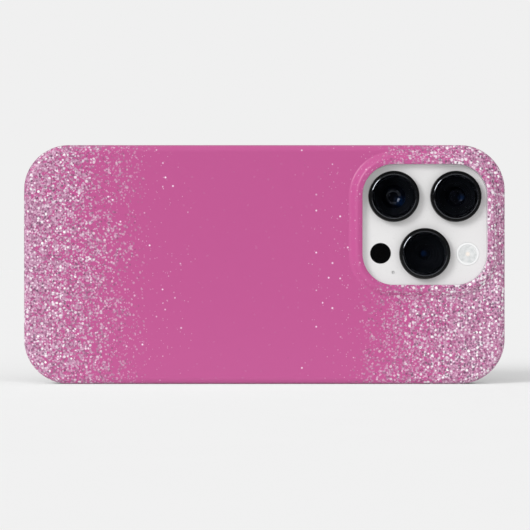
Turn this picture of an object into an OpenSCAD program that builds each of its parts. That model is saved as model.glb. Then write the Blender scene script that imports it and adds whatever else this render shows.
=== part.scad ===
// Two-piece protective phone case: a hard printed shell over a soft inner liner
// with its own button caps, fitted on a phone with a three-lens camera.
// It stands on its long edge: X runs along the phone towards the camera end,
// -Y is the back of the case and Z is up. Every piece is modelled lying on its
// screen with z = 0 at the phone's back glass, then stood up by stood().

/* [Phone] */
// Length of the phone
phone_l = 147.5; // [144:0.5:152]
// Width of the phone
phone_w = 71.5; // [70:0.5:74]
// Thickness of the phone without its camera
phone_t = 7.85; // [7.7:0.05:8.2]
// Corner radius of the phone seen from the back
phone_r = 12.35; // [10:0.05:14]
// Height of the camera plateau above the back glass
plateau_h = 1.4; // [1.2:0.1:1.6]
// Height of the lens rings above the back glass
lens_h = 3.75; // [3.4:0.05:3.8]

/* [Case] */
// Wall of the hard shell
shell_t = 0.95; // [0.8:0.05:1.2]
// Back of the hard shell
shell_back = 1.15; // [1:0.05:1.4]
// Wall of the soft liner
liner_t = 0.62; // [0.5:0.02:0.8]
// Back of the soft liner
liner_back = 0.55; // [0.4:0.05:0.7]
// Height of the front lip above the screen
lip_h = 0.9; // [0.6:0.1:1.2]
// How far the lip reaches over the screen
lip_reach = 1.3; // [0.8:0.1:1.4]
// Rounding of the shell's back edge
edge_r = 2.4; // [1.8:0.1:2.4]

/* [Camera window] */
// Length of the window in the back, along the phone
window_l = 39.05; // [38.5:0.05:39.5]
// Width of the window
window_w = 37.8; // [37.4:0.05:38.2]
// Corner radius of the window
window_r = 9.8; // [9:0.1:10.5]
// Centre of the window from the centre of the case, along the phone
window_x = 50.2; // [49.9:0.05:50.5]
// Centre of the window from the centre of the case, across the phone
window_y = 12.5; // [12.2:0.05:12.8]
// Rise of the guard around the window above the shell's back
guard_h = 2.07; // [1.6:0.01:2.2]
// Width of the guard's outer slope
guard_w = 3.4; // [2.6:0.1:3.4]

/* [Buttons] */
// Travel of every button
press = 0.3; // [0.2:0.05:0.35]
// Travel of the mute slider
mute_travel = 1.2; // [0.8:0.1:1.2]
// Place of the side button along the phone
side_x = 23.75; // [22:0.25:26]
// Place of the volume up button along the phone
vol_up_x = 30.5; // [30:0.25:31]
// Place of the volume down button along the phone
vol_down_x = 16.75; // [16:0.25:17]
// Place of the mute slider along the phone
mute_x = 44.5; // [44.25:0.25:45]

/* [Hidden] */
$fn = 64;
fit = 0.10;         // phone to liner, and moving pieces to what guides them
seat = 0.08;        // liner to shell
bond = 0.02;        // between pieces that are glued or pressed together
side_t = fit + liner_t + seat + shell_t;
case_l = phone_l + 2 * side_t;
case_w = phone_w + 2 * side_t;
case_r = phone_r + side_t;
liner_l = phone_l + 2 * (fit + liner_t);
liner_w = phone_w + 2 * (fit + liner_t);
liner_r = phone_r + fit + liner_t;

back_z = fit + liner_back + seat + shell_back;   // outer face of the shell's back
guard_z = back_z + guard_h;                      // top of the camera guard
front_z = -phone_t - fit - lip_h;                // front face of the lip
rim_z = -phone_t + 0.45;                         // front rim of the shell
mid_z = -phone_t / 2;                            // middle of the phone's thickness

plateau_gap = 0.2;                               // camera window to plateau, each side
glass_t = 0.8;
glass_inset = 0.8;
glass_r = phone_r - glass_inset;
frame_t = 2.25;                                  // wall of the phone's frame
break_depth = 1.2;
cavity_l = phone_l - 2 * frame_t;
cavity_w = phone_w - 2 * frame_t;
cavity_r = phone_r - frame_t;

button_h = 3.0;                                  // phone button across the thickness
button_proud = 0.4;
side_len = 18;
vol_len = 10.6;
cap_h = 4.4;
cap_extra = 2.4;                                 // cap longer than the button under it
cap_out = 37.3;                                  // outer face of a cap from the middle
cap_in = phone_w / 2 + button_proud + 0.05;
notch_side = 3.6;                                // notch longer than its caps, each end
notch_top = -1.3;

port_l = 13.5;                                   // port window in the case
port_h = 6.8;
mute_l = 9.5;                                    // mute window in the case
mute_h = 6.4;
mute_z = mid_z - 0.6;                            // slider at rest, towards the screen
grille_l = 11;
grille_h = 2.6;
grille_y = 17;

LENSES = [[40.5, 21.3], [59.9, 21.3], [50.2, 3.4]];
lens_r = 8.0;
cover_r = 7.0;
neck_r = 7.4;
bore_r = 6.2;
barrel_r = 6.1;
sensor = [36.4, 3.5];
sensor_r = 3.25;
flash = [63.75, 3.3];
flash_r = 3.6;
mic = [40.4, -2.5];
front_camera = [66, 0];

// ---- placing and shared shapes ----

// Stands a piece, modelled lying on its screen, on its long edge.
module stood() {
    translate([0, (guard_z + front_z) / 2, case_w / 2]) rotate([90, 0, 0]) children();
}

// Half of a slab's section, with its two outer edges rounded.
module half_section(w, z0, z1, e0, e1) {
    zm = (z0 + z1) / 2;
    translate([0, z0]) square([w - e0, zm - z0]);
    translate([0, zm]) square([w - e1, z1 - zm]);
    translate([0, z0 + e0]) square([w, z1 - z0 - e0 - e1]);
    translate([w - e0, z0 + e0]) circle(e0);
    translate([w - e1, z1 - e1]) circle(e1);
}

// A rounded rectangle whose edge is the 2D child: the child runs from 0, the
// centre of a corner, outwards, and is z0 to z1 high where it starts.
module swept(l, w, r, z0, z1) {
    translate([-(l / 2 - r), 0, 0]) rotate([90, 0, 90]) linear_extrude(l - 2 * r) {
        translate([w / 2 - r, 0]) children();
        mirror([1, 0]) translate([w / 2 - r, 0]) children();
        translate([-(w / 2 - r), z0]) square([w - 2 * r, z1 - z0]);
    }
    for (s = [0, 1])
        mirror([s, 0, 0]) translate([l / 2 - r, w / 2 - r, 0]) rotate([90, 0, 0])
            linear_extrude(w - 2 * r) children();
    for (q = [[1, 1, 0], [-1, 1, 90], [-1, -1, 180], [1, -1, 270]])
        translate([q[0] * (l / 2 - r), q[1] * (w / 2 - r), 0]) rotate(q[2])
            rotate_extrude(angle = 90) children();
}

// A rounded-rectangle slab with rounded lower (e0) and upper (e1) edges.
module pillow(l, w, r, z0, z1, e0, e1) {
    swept(l, w, r, z0, z1) half_section(r, z0, z1, e0, e1);
}

module outline(l, w, r) {
    square([l - 2 * r, w], center = true);
    square([l, w - 2 * r], center = true);
    for (x = [-1, 1], y = [-1, 1])
        translate([x * (l / 2 - r), y * (w / 2 - r)]) circle(r);
}

module slab(l, w, r, z0, z1) {
    translate([0, 0, z0]) linear_extrude(z1 - z0) outline(l, w, r);
}

// A slot l along the side and h high, from y0 to y1. Its ends are round unless
// a smaller corner radius is given.
module side_slot(x, z, l, h, y0, y1, corner = 99) {
    translate([x, y1, z]) rotate([90, 0, 0]) linear_extrude(y1 - y0)
        outline(l, h, min(corner, h / 2 - 0.01));
}

// The same through the charging end: l across the phone, from x0 to x1.
module end_slot(y, z, l, h, x0, x1) {
    translate([x0, y, z]) rotate([90, 0, 90]) linear_extrude(x1 - x0)
        outline(l, h, h / 2 - 0.01);
}

module disc(at, r, z0, z1) {
    translate([at[0], at[1], z0]) cylinder(r = r, h = z1 - z0);
}

// A notch in the shell's side wall, open towards the front.
module notch(x0, x1, y0, y1) {
    corner = 1.5;
    translate([x0, y0, front_z]) cube([x1 - x0, y1 - y0, notch_top - corner - front_z]);
    translate([x0 + corner, y0, notch_top - 2 * corner])
        cube([x1 - x0 - 2 * corner, y1 - y0, 2 * corner]);
    for (x = [x0 + corner, x1 - corner])
        translate([x, y0, notch_top - corner]) rotate([-90, 0, 0])
            cylinder(r = corner, h = y1 - y0);
}

side_notch = [side_x - (side_len + cap_extra) / 2 - notch_side,
              side_x + (side_len + cap_extra) / 2 + notch_side];
volume_notch = [vol_down_x - (vol_len + cap_extra) / 2 - notch_side,
                vol_up_x + (vol_len + cap_extra) / 2 + 1];

// ---- case ----

// The smooth rise around the camera window, before the window is cut.
module guard() {
    steps = 12;
    crest = 0.7;
    slope = [for (i = [0:steps])
        let (t = i / steps)
        [window_r + crest + (guard_w - crest) * (1 - t),
         back_z + guard_h * (1 - cos(180 * t)) / 2]];
    translate([window_x, window_y, 0])
        swept(window_l, window_w, window_r, back_z - 0.3, guard_z)
            polygon(concat([[0, back_z - 0.3], [window_r + guard_w, back_z - 0.3]],
                           slope, [[0, guard_z]]));
}

module camera_window(spare, z0, z1) {
    translate([window_x, window_y, 0])
        slab(window_l + 2 * spare, window_w + 2 * spare, window_r + spare, z0, z1);
}

module end_windows(spare, x0, x1) {
    end_slot(0, mid_z, port_l + 2 * spare, port_h + 2 * spare, x0, x1);
    for (y = [-grille_y, grille_y])
        end_slot(y, mid_z, grille_l + 2 * spare, grille_h + 2 * spare, x0, x1);
}

module outer_shell() {
    color("#C55B96") stood() difference() {
        union() {
            pillow(case_l, case_w, case_r, rim_z, back_z, 0.2, edge_r);
            guard();
        }
        pillow(case_l - 2 * shell_t, case_w - 2 * shell_t, case_r - shell_t,
               front_z - 3, back_z - shell_back, 0.2, edge_r - shell_t);
        camera_window(0, -1, guard_z + 1);
        notch(side_notch[0], side_notch[1], phone_w / 2, case_w / 2 + 1);
        notch(volume_notch[0], volume_notch[1], -case_w / 2 - 1, -phone_w / 2);
        side_slot(mute_x, mid_z, mute_l, mute_h, -case_w / 2 - 1, -phone_w / 2);
        end_windows(0, -case_l / 2 - 1, -phone_l / 2);
    }
}

// The part of the liner that fills a notch of the shell.
module notch_pad(x0, x1, side) {
    y = liner_w / 2 - 0.1;
    thick = case_w / 2 - 0.25 - y;
    intersection() {
        mirror([0, side, 0]) notch(x0 + fit, x1 - fit, y, y + thick);
        slab(case_l, case_w, case_r, front_z + 0.5, notch_top - fit);
    }
}

module inner_liner() {
    color("#ECE6EA") stood() difference() {
        union() {
            pillow(liner_l, liner_w, liner_r, front_z + 0.3, fit + liner_back,
                   0.2, edge_r - shell_t - seat);
            pillow(case_l - 0.2, case_w - 0.2, case_r - 0.1, front_z, rim_z - seat,
                   0.45, 0.2);
            notch_pad(side_notch[0], side_notch[1], 0);
            notch_pad(volume_notch[0], volume_notch[1], 1);
        }
        pillow(phone_l + 2 * fit, phone_w + 2 * fit, phone_r + fit,
               -phone_t - fit, fit, 0.3, 0.5);
        slab(phone_l - 2 * lip_reach, phone_w - 2 * lip_reach, phone_r - lip_reach,
             front_z - 1, mid_z);
        camera_window(0.15, -1, 2);
        for (c = [[side_x, side_len, 1], [vol_up_x, vol_len, -1], [vol_down_x, vol_len, -1]])
            side_slot(c[0], mid_z, c[1] + cap_extra + 2 * fit, cap_h + 2 * fit,
                      c[2] > 0 ? phone_w / 2 : -case_w / 2 - 1,
                      c[2] > 0 ? case_w / 2 + 1 : -phone_w / 2);
        side_slot(mute_x, mid_z, mute_l - 0.6, mute_h - 0.6, -case_w / 2 - 1, -phone_w / 2);
        end_windows(-0.3, -case_l / 2 - 1, -phone_l / 2);
    }
}

// A hard cap with a softened outer face, at x along the side.
module cap(x, len, side) {
    soft = 0.25;
    mirror([0, side, 0]) {
        side_slot(x, mid_z, len + cap_extra, cap_h, cap_in, cap_out - soft);
        side_slot(x, mid_z, len + cap_extra - 2 * soft, cap_h - 2 * soft,
                  cap_in, cap_out);
    }
}

module power_cap() { color("#B9528B") stood() cap(side_x, side_len, 0); }
module volume_up_cap() { color("#B9528B") stood() cap(vol_up_x, vol_len, 1); }
module volume_down_cap() { color("#B9528B") stood() cap(vol_down_x, vol_len, 1); }

// ---- phone: housing ----

module frame_band() {
    difference() {
        pillow(phone_l, phone_w, phone_r, -phone_t + 0.12, -0.12, 0.45, 0.45);
        slab(cavity_l, cavity_w, cavity_r, -phone_t - 1, 1);
        for (z = [[-glass_t - bond, 1], [-phone_t - 1, -phone_t + glass_t + bond]])
            slab(phone_l - 2 * glass_inset + 2 * bond, phone_w - 2 * glass_inset + 2 * bond,
                 glass_r + bond, z[0], z[1]);
    }
}

module break_slots(width) {
    for (x = [-60, 58.5], s = [0, 1])
        mirror([0, s, 0]) translate([x - width / 2, phone_w / 2 - break_depth, -phone_t])
            cube([width, break_depth + 1, phone_t]);
}

module phone_frame() {
    color("#D9D9DC") stood() difference() {
        frame_band();
        break_slots(0.9);
        side_slot(side_x, mid_z, side_len + 2 * fit, button_h + 2 * fit,
                  phone_w / 2 - frame_t - 1, phone_w / 2 + 1);
        for (x = [vol_up_x, vol_down_x])
            side_slot(x, mid_z, vol_len + 2 * fit, button_h + 2 * fit,
                      -phone_w / 2 - 1, -phone_w / 2 + frame_t + 1);
        side_slot(mute_x, mid_z, 6.2, 3.3, -phone_w / 2 - 1, -phone_w / 2 + frame_t + 1, 0.5);
        end_slot(0, mid_z, 8.8, 3.1, -phone_l / 2 - 1, -phone_l / 2 + frame_t + 1);
        for (s = [-1, 1]) {
            for (i = [0:4])
                translate([-phone_l / 2 - 1, s * (11.5 + 2.6 * i), mid_z]) rotate([0, 90, 0])
                    cylinder(r = 0.75, h = frame_t + 2);
            translate([-phone_l / 2 - 1, s * 5.75, mid_z]) rotate([0, 90, 0])
                cylinder(r = 0.8, h = 2.6);
        }
    }
}

module antenna_breaks() {
    color("#C9C9CC") stood() intersection() {
        frame_band();
        break_slots(0.9 - 2 * bond);
    }
}

module back_glass() {
    color("#EFEFEF") stood() difference() {
        pillow(phone_l - 2 * glass_inset, phone_w - 2 * glass_inset, glass_r,
               -glass_t, 0, 0.1, 0.3);
        translate([window_x, window_y, 0]) slab(35.4, 34.2, 7.9, -2, 1);
    }
}

module front_glass() {
    color("#16161A") stood() difference() {
        pillow(phone_l - 2 * glass_inset, phone_w - 2 * glass_inset, glass_r,
               -phone_t, -phone_t + glass_t, 0.3, 0.1);
        translate([71.6, 0, 0]) slab(0.8, 10, 0.39, -phone_t - 1, -phone_t + glass_t + 1);
    }
}

module display_panel() {
    color("#050508") stood() difference() {
        slab(142, 66, 9.5, -phone_t + 0.9, -phone_t + 1.8);
        disc(front_camera, 2.3, -phone_t, -phone_t + 3);
        translate([70.5, 0, -phone_t]) cube([3, 12, 9], center = true);
    }
}

// ---- phone: inside ----

module mid_plate() {
    color("#9A9CA0") stood() difference() {
        slab(142.4, 64.8, 9.7, -phone_t + 1.9, -phone_t + 2.3);
        disc(front_camera, 2.3, -phone_t, -phone_t + 3);
    }
}

module block(x0, x1, y0, y1, z0, z1, r) {
    translate([(x0 + x1) / 2, (y0 + y1) / 2, 0]) slab(x1 - x0, y1 - y0, r, z0, z1);
}

module battery() { color("#3A3A3C") stood() block(-58, 27, -32.3, 3, -5.4, -1.55, 2); }

module main_board() {
    color("#1F4A38") stood() {
        block(-40, 29, 5, 32, -4.4, -3.6, 1);
        for (x = [-38, -15, 8])
            block(x, x + 19, 7, 30, -3.6, -2.3, 0.8);
    }
}

module charging_coil() {
    color("#B0703A") stood() difference() {
        disc([-4, 0], 23, -1.4, -0.95);
        disc([-4, 0], 12, -2, 0);
    }
}

module haptic_motor() { color("#8E8F92") stood() block(-64, -59.5, 8, 30, -5.2, -1.8, 1); }

module loudspeaker() { color("#222224") stood() block(-69, -60, -26, -9, -5.2, -1.8, 2); }

module speaker_meshes() {
    color("#2A2A2C") stood() for (y = [-16.7, 16.7])
        translate([-71.3, y, mid_z]) cube([0.2, 13, 2.2], center = true);
}

module earpiece_mesh() {
    color("#2A2A2C") stood()
        translate([71.6, 0, 0]) slab(0.7, 9.9, 0.34, -phone_t + 0.12, -phone_t + glass_t);
}

module front_camera_module() {
    color("#101014") stood() difference() {
        disc(front_camera, 2.1, -phone_t + 0.9, -3.2);
        disc(front_camera, 1.3, -phone_t, -phone_t + 1.5);
    }
}

module port_shell() {
    color("#77797D") stood() difference() {
        end_slot(0, mid_z, 8.7, 3.0, -phone_l / 2 + 0.25, -66.6);
        end_slot(0, mid_z, 8.3, 2.6, -phone_l / 2 - 1, -67.0);
    }
}

module port_tongue() {
    color("#26282B") stood()
        translate([-72.6, -3.3, mid_z - 0.35]) cube([5.6, 6.6, 0.7]);
}

module end_screws() {
    color("#B8B8BC") stood() for (y = [-5.75, 5.75])
        translate([-phone_l / 2 + 0.15, y, mid_z]) rotate([0, 90, 0]) difference() {
            cylinder(r = 0.75, h = 1.4);
            translate([0, 0, -0.1]) cylinder(r = 0.35, h = 0.5, $fn = 6);
        }
}

// ---- phone: buttons ----

// A button in its slot, with a flange inside the frame's wall.
module button(x, len, side) {
    inner = phone_w / 2 - frame_t;
    mirror([0, side, 0]) {
        side_slot(x, mid_z, len, button_h, inner - 0.4, phone_w / 2 + button_proud - 0.1);
        side_slot(x, mid_z, len - 0.2, button_h - 0.2, inner, phone_w / 2 + button_proud);
        side_slot(x, mid_z, len + 1, button_h + 0.8, inner - 0.5, inner - fit);
    }
}

module side_button() { color("#D0D0D4") stood() button(side_x, side_len, 0); }
module volume_up_button() { color("#D0D0D4") stood() button(vol_up_x, vol_len, 1); }
module volume_down_button() { color("#D0D0D4") stood() button(vol_down_x, vol_len, 1); }

module mute_slider() {
    color("#D0D0D4") stood()
        side_slot(mute_x, mute_z, 5.9, 1.8, -phone_w / 2 - 0.3, -phone_w / 2 + 1.8, 0.5);
}

// ---- phone: camera ----

module camera_plateau() {
    color("#E4E4E3") stood() difference() {
        translate([window_x, window_y, 0])
            pillow(window_l - 2 * plateau_gap, window_w - 2 * plateau_gap,
                   window_r - plateau_gap, bond, plateau_h, 0.1, 0.45);
        for (c = LENSES)
            disc(c, neck_r + bond, -1, 3);
        disc(sensor, sensor_r + bond, plateau_h - 0.8, 3);
        disc(flash, flash_r + bond, -1, 3);
        disc(mic, 0.5, -1, 3);
    }
}

module camera_bracket() {
    color("#8E8F92") stood() difference() {
        translate([window_x, window_y, 0]) slab(38, 37, 8, -1.6, -1.0);
        for (c = LENSES)
            disc(c, barrel_r + bond, -3, 1);
    }
}

module depth_sensor_window() {
    color("#08080A") stood() disc(sensor, sensor_r, plateau_h - 0.8 + bond, plateau_h + 0.05);
}

module rear_mic_mesh() { color("#6E6E70") stood() disc(mic, 0.46, 0.3, 1.0); }

module flash_lens() {
    color("#F4F2EE") stood() {
        disc(flash, flash_r, 0.7, plateau_h - 0.1);
        disc(flash, flash_r - 0.5, 0.7, plateau_h + 0.12);
    }
}

module flash_plate() { color("#E9E6DC") stood() disc(flash, flash_r - 0.1, -0.3, 0.1); }

module flash_leds() {
    color("#F2D27A") stood() for (x = [-0.75, 0.75])
        translate([flash[0] + x, flash[1], 0.1 + 0.25]) cube([1.1, 1.3, 0.5], center = true);
}

// The trim ring around lens i, with a seat for its cover.
module lens_ring(i) {
    soft = 0.3;
    color("#0C0C0E") stood() translate([LENSES[i - 1][0], LENSES[i - 1][1], 0])
        rotate_extrude() difference() {
            union() {
                translate([bore_r, 0.5]) square([neck_r - bore_r, 2]);
                translate([bore_r, plateau_h + bond])
                    square([lens_r - bore_r, lens_h - soft - plateau_h - bond]);
                translate([bore_r, plateau_h + bond])
                    square([lens_r - soft - bore_r, lens_h - plateau_h - bond]);
                translate([lens_r - soft, lens_h - soft]) circle(soft);
            }
            translate([bore_r - 1, lens_h - 0.7]) square([cover_r + bond - bore_r + 1, 2]);
        }
}

module lens_cover(i) {
    color("#101318") stood()
        disc(LENSES[i - 1], cover_r, lens_h - 0.7 + bond, lens_h - 0.08);
}

// The black tube under lens i, stepped inside like a lens hood.
module lens_barrel(i) {
    color("#060607") stood() translate([LENSES[i - 1][0], LENSES[i - 1][1], 0])
        rotate_extrude() polygon([
            [0, -5.2], [barrel_r, -5.2], [barrel_r, 2.9], [5.3, 2.9], [4.9, 1.9],
            [4.3, 1.9], [4.0, 1.0], [3.6, 1.0], [3.6, -0.6], [0, -0.6]
        ]);
}

// The front element of lens i, domed towards its cover.
module lens_element(i) {
    dome_r = 7;
    color("#1A2440") stood() translate([LENSES[i - 1][0], LENSES[i - 1][1], -0.58])
        intersection() {
            cylinder(r = 3.6 - bond, h = 3);
            translate([0, 0, 1.4 - dome_r]) sphere(dome_r);
        }
}

outer_shell();
inner_liner();
power_cap();
volume_up_cap();
volume_down_cap();
phone_frame();
antenna_breaks();
back_glass();
front_glass();
display_panel();
mid_plate();
battery();
main_board();
charging_coil();
haptic_motor();
loudspeaker();
speaker_meshes();
earpiece_mesh();
front_camera_module();
port_shell();
port_tongue();
end_screws();
side_button();
volume_up_button();
volume_down_button();
mute_slider();
camera_plateau();
camera_bracket();
depth_sensor_window();
flash_lens();
flash_plate();
flash_leds();
rear_mic_mesh();
for (i = [1:3]) {
    lens_ring(i);
    lens_cover(i);
    lens_barrel(i);
    lens_element(i);
}
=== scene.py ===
"""A two-piece phone case with a glitter print, on a phone with three lenses.

The case stands on its long edge: X runs along the phone, -Y is the printed back
and Z is up. Pieces are modelled lying on the screen, in millimetres, with z = 0
at the phone's back glass and the middle of the case at x = y = 0. STAND then puts
them into the frame, in metres.
"""

import math

import bmesh
import bpy
from mathutils import Matrix, Vector


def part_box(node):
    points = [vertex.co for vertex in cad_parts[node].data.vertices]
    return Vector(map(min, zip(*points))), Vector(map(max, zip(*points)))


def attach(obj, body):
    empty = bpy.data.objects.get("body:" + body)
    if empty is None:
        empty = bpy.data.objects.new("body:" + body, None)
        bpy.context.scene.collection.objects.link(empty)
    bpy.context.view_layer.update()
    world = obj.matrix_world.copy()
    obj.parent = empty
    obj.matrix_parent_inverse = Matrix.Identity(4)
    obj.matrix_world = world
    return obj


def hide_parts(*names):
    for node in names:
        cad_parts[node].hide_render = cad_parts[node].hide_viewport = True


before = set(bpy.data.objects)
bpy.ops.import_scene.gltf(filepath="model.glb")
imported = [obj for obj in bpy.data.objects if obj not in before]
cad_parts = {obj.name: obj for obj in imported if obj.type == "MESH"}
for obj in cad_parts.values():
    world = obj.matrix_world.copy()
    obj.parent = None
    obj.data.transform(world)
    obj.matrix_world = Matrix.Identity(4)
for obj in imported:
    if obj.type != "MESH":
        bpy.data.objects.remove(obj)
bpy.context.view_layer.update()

MM = 0.001


# ---------------------------------------------------------------- sizes, in mm

shell_low, shell_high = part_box("outer_shell")
BACK_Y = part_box("back_glass")[0].y
MID_Z = (shell_low.z + shell_high.z) / 2
STAND = (Matrix.Translation((0, BACK_Y, MID_Z)) @ Matrix.Rotation(math.radians(90), 4, "X")
         @ Matrix.Scale(MM, 4))


def lying(node):
    """A node's size and centre in the lying model."""
    low, high = (STAND.inverted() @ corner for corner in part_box(node))
    size = high - low
    return Vector((size.x, abs(size.y), abs(size.z))), (low + high) / 2


def levels(node):
    """A node's lowest and highest z in the lying model."""
    size, centre = lying(node)
    return centre.z - size.z / 2, centre.z + size.z / 2


(CASE_L, CASE_W, _), _ = lying("outer_shell")
RIM_Z, GUARD_Z = levels("outer_shell")
FRONT_Z = levels("inner_liner")[0]
(PHONE_L, PHONE_W, _), _ = lying("phone_frame")
SCREEN_Z = levels("front_glass")[0]
SIDE_Z = SCREEN_Z / 2                     # middle of the phone's thickness

CASE_R = 14.1
SHELL_T = 0.95
SHELL_BACK_Z = 1.88
SHELL_INNER_Z = 0.73
EDGE_R = 2.4
SEAT = 0.08                               # between the shell and the liner
FIT = 0.10                                # between the liner and the phone
LINER_T = 0.62
LINER_BACK_Z = 0.65
LIP_REACH = 1.3
PHONE_R = 12.35
GLASS_INSET = 0.8
GLASS_T = 0.8
FRAME_T = 2.25
BREAKS_X = (-60.0, 58.5)
CAMERA_HOLE = (35.4, 34.2, 7.9)           # length, width and corner radius in the back glass
EARPIECE = (0.8, 10.0)
MUTE_HOLE = (6.2, 3.3)
PORT_HOLE = (8.8, 3.1)
SPEAKER_D = 1.5
SPEAKER_FIRST = 11.5
SPEAKER_STEP = 2.6
SCREW_D = 1.6
SCREW_Y = 5.75
KEY_H = 3.0
KEY_FLANGE = 0.5                          # what a button's node has past its key, each end

plateau_size, WINDOW_AT = lying("camera_plateau")
PLATEAU_Z = levels("camera_plateau")[1]
WINDOW_GAP = 0.2                          # window to plateau
WINDOW_L = plateau_size.x + 2 * WINDOW_GAP
WINDOW_W = plateau_size.y + 2 * WINDOW_GAP
WINDOW_R = 9.8
PLATE_GAP = 0.03                          # window to the plateau's finished edge
GUARD_W = 4.3                             # window's edge to the guard's foot
GUARD_CREST = 1.4                         # window's edge to the guard's highest line
GUARD_ROLL = 0.4                          # how far the guard drops from there to the edge

NOTCH_TOP = -1.3
NOTCH_SIDE = 3.6                          # notch longer than its caps, each end
CAPS = {"power_cap": "+y", "volume_up_cap": "-y", "volume_down_cap": "-y"}
BUTTONS = {"side_button": "+y", "volume_up_button": "-y", "volume_down_button": "-y"}
MUTE_WINDOW = (9.5, 6.4)
PORT_WINDOW = (13.5, 6.8)
GRILLE_WINDOW = (11.0, 2.6)
GRILLE_Y = 17.0

RING_R = 8.0
NECK_R = 7.4
COVER_R = 7.0
INNER = {                                 # each lens's inner glass: radii, gloss, and the place and size of a painted blue reflection
    1: {"bowl": 3.8, "pupil": 1.6, "gloss": (0.32, 0.06), "painted_sheen": (1.9, -1.3, 2.4)},
    2: {"bowl": 3.2, "pupil": 1.6, "gloss": (0.06, 0.06), "painted_sheen": (1.8, -0.3, 1.4)},
    3: {"bowl": 1.9, "pupil": 0.9, "gloss": (0.03, 0.03), "painted_sheen": (-0.3, 0.2, 1.3)},
}


# ---------------------------------------------------------------- camera and light

FRAME_WIDTH = 0.16598                     # what the picture's width takes in at the case
CAMERA_DISTANCE = 0.70
SENSOR_WIDTH = 36.0


def build_camera():
    data = bpy.data.cameras.new("camera")
    data.sensor_width = SENSOR_WIDTH
    data.lens = SENSOR_WIDTH * CAMERA_DISTANCE / FRAME_WIDTH
    data.clip_start = 0.02
    data.clip_end = 60
    camera = bpy.data.objects.new("camera", data)
    bpy.context.collection.objects.link(camera)
    bpy.context.scene.camera = camera
    camera.location = (0.0002, shell_low.y + 0.002 - CAMERA_DISTANCE, MID_Z - 0.00016)
    camera.rotation_euler = (math.radians(90), 0, 0)
    bpy.context.scene.view_settings.view_transform = "Standard"


def build_key():
    """One broad lamp from the upper left of the printed back."""
    data = bpy.data.lights.new("key", "SUN")
    data.energy = 1.52
    data.angle = math.radians(25)
    key = bpy.data.objects.new("key", data)
    key.rotation_euler = Vector((-0.60, -0.66, 0.45)).to_track_quat("Z", "Y").to_euler()
    bpy.context.collection.objects.link(key)


def build_world():
    """Even pale light all round, and a dimmer room for reflections to see."""
    world = bpy.data.worlds.new("studio")
    bpy.context.scene.world = world
    world.use_nodes = True
    world.cycles.sampling_method = "NONE"
    tree = world.node_tree
    tree.nodes.clear()
    link = tree.links.new
    out = tree.nodes.new("ShaderNodeOutputWorld")
    coords = tree.nodes.new("ShaderNodeTexCoord")
    split = tree.nodes.new("ShaderNodeSeparateXYZ")
    link(coords.outputs["Generated"], split.inputs[0])
    path = tree.nodes.new("ShaderNodeLightPath")

    def background(strength):
        made = tree.nodes.new("ShaderNodeBackground")
        made.inputs["Color"].default_value = (1, 1, 1, 1)
        made.inputs["Strength"].default_value = strength
        return made

    def combined(operation, a, b):
        made = tree.nodes.new("ShaderNodeMath")
        made.operation = operation
        link(a, made.inputs[0])
        link(b, made.inputs[1])
        return made.outputs[0]

    def ramp(value, low, high, to_low, to_high):
        made = tree.nodes.new("ShaderNodeMapRange")
        made.interpolation_type = "SMOOTHSTEP"
        link(value, made.inputs["Value"])
        for socket, number in zip(("From Min", "From Max", "To Min", "To Max"),
                                  (low, high, to_low, to_high)):
            made.inputs[socket].default_value = number
        return made.outputs["Result"]

    seen = background(0.871)
    lit = background(1.0)
    link(ramp(split.outputs["Y"], -0.30, -1.0, 0.68, 1.03), lit.inputs["Strength"])
    room = background(1.0)
    front = ramp(split.outputs["Y"], -0.95, -0.60, 0.01, 1.0)
    above = ramp(split.outputs["Z"], 0.40, 0.80, 0.12, 0.85)
    right = ramp(split.outputs["X"], 0.70, 0.95, 0.0, 0.35)
    left = ramp(split.outputs["X"], -0.70, -0.95, 0.0, 0.35)
    panels = combined("ADD", above, combined("ADD", left, right))
    link(combined("MULTIPLY", front, panels), room.inputs["Strength"])
    first = tree.nodes.new("ShaderNodeMixShader")
    link(path.outputs["Diffuse Depth"], first.inputs["Fac"])
    link(room.outputs[0], first.inputs[1])
    link(lit.outputs[0], first.inputs[2])
    second = tree.nodes.new("ShaderNodeMixShader")
    link(path.outputs["Is Camera Ray"], second.inputs["Fac"])
    link(first.outputs[0], second.inputs[1])
    link(seen.outputs[0], second.inputs[2])
    link(second.outputs[0], out.inputs["Surface"])


build_camera()
build_key()
build_world()


# ---------------------------------------------------------------- material helpers

def srgb(r, g, b):
    """An 8-bit screen colour as linear values."""
    def linear(v):
        v /= 255
        return v / 12.92 if v <= 0.04045 else ((v + 0.055) / 1.055) ** 2.4
    return (linear(r), linear(g), linear(b), 1)


def scaled(colour, factor):
    return tuple(c * factor for c in colour[:3]) + (1,)


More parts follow.
